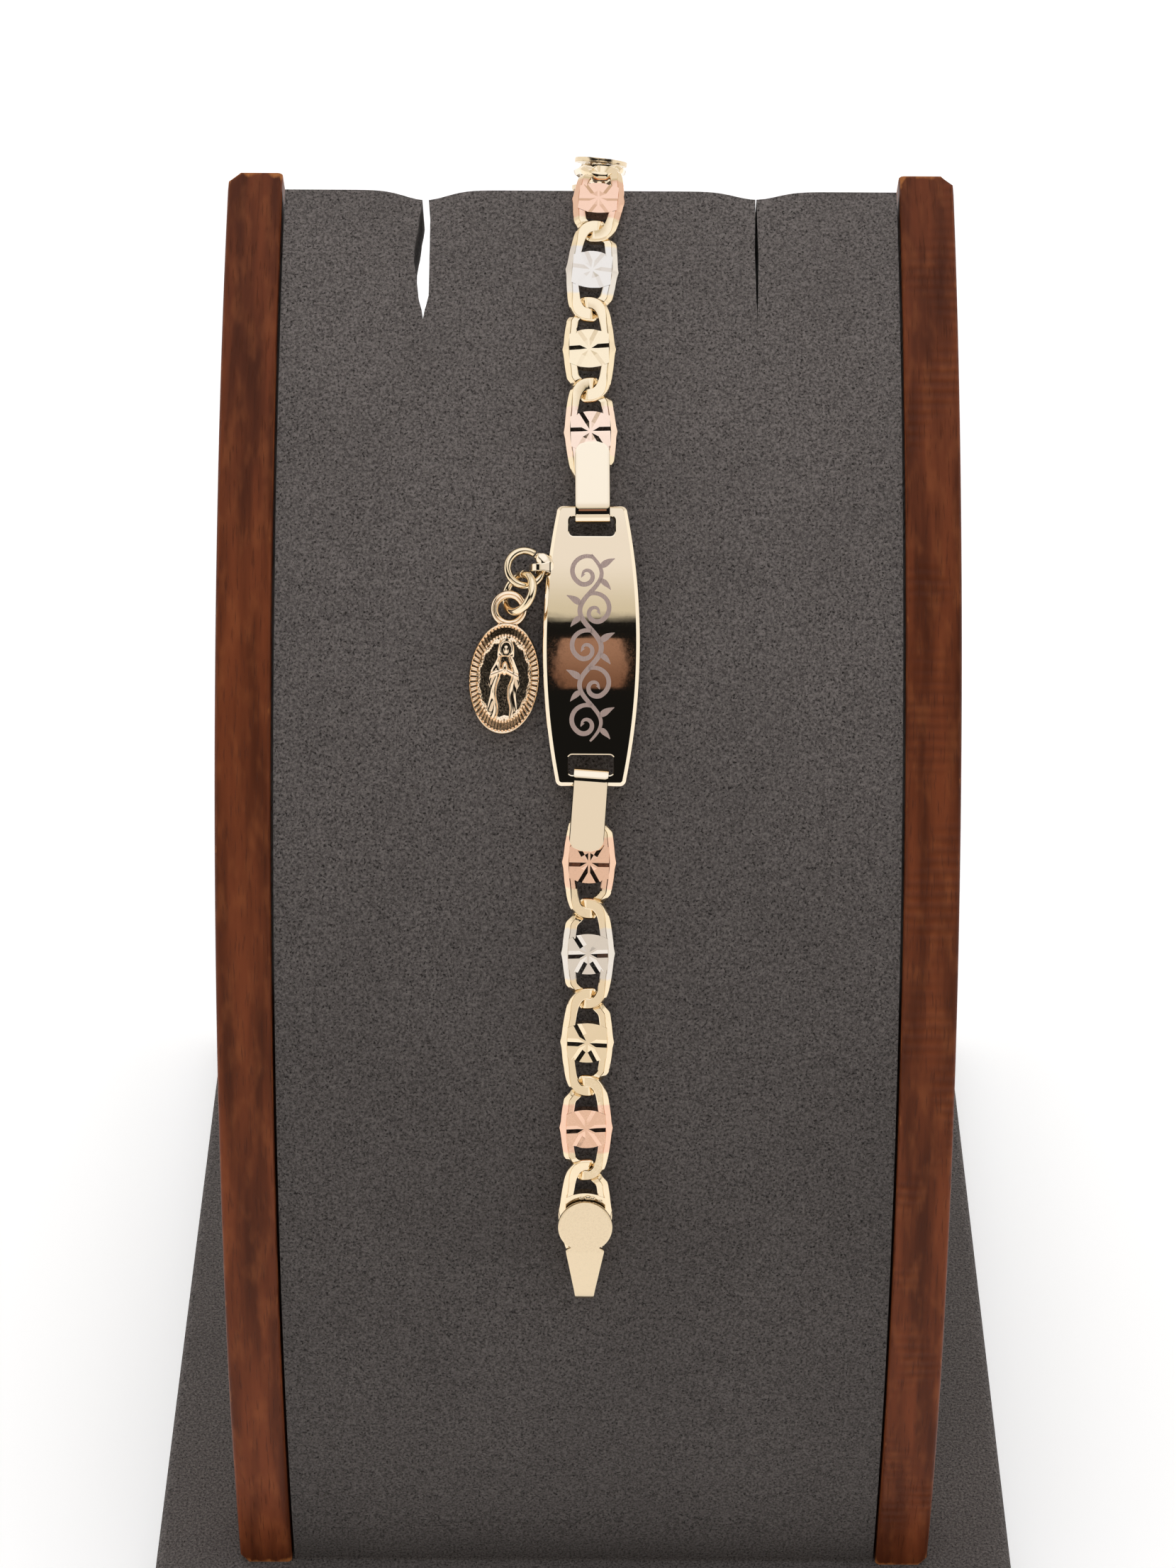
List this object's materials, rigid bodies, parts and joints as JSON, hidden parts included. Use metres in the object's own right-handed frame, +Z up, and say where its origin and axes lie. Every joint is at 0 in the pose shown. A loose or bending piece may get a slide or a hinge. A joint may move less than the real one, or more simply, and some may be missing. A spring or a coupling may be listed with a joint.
{
  "type": "nameplate bracelet on display stand",
  "caption": "Three-colour bracelet of star-cut links with a curved polished nameplate and a small oval medal, laid open over a curved suede display stand with wooden rails.",
  "frame": {"origin": "middle of the underside of the stand's base board", "axes": "+Z up, -Y towards the front, where the curved face meets the base, +X to the right as seen from the front"},
  "size_m": [0.1, 0.112, 0.148],
  "materials": {
    "suede": "matte",
    "wood": "satin",
    "gold": "polished",
    "rose_gold": "polished",
    "white_gold": "polished"
  },
  "bodies": {
    "root": {"base_board": "suede", "back_panel": "suede", "rail_left": "wood", "rail_right": "wood", "nameplate": "gold", "strap_upper": "rose_gold", "link_upper_1": "gold", "link_upper_2": "white_gold", "link_upper_3": "rose_gold", "cap_upper": "gold", "strap_lower": "rose_gold", "link_lower_1": "white_gold", "link_lower_2": "gold", "link_lower_3": "rose_gold", "cap_lower": "gold", "jump_ring_1": "gold", "jump_ring_2": "gold", "medal": "gold", "clasp_ring": "gold", "clasp": "gold"}
  },
  "joints": []
}
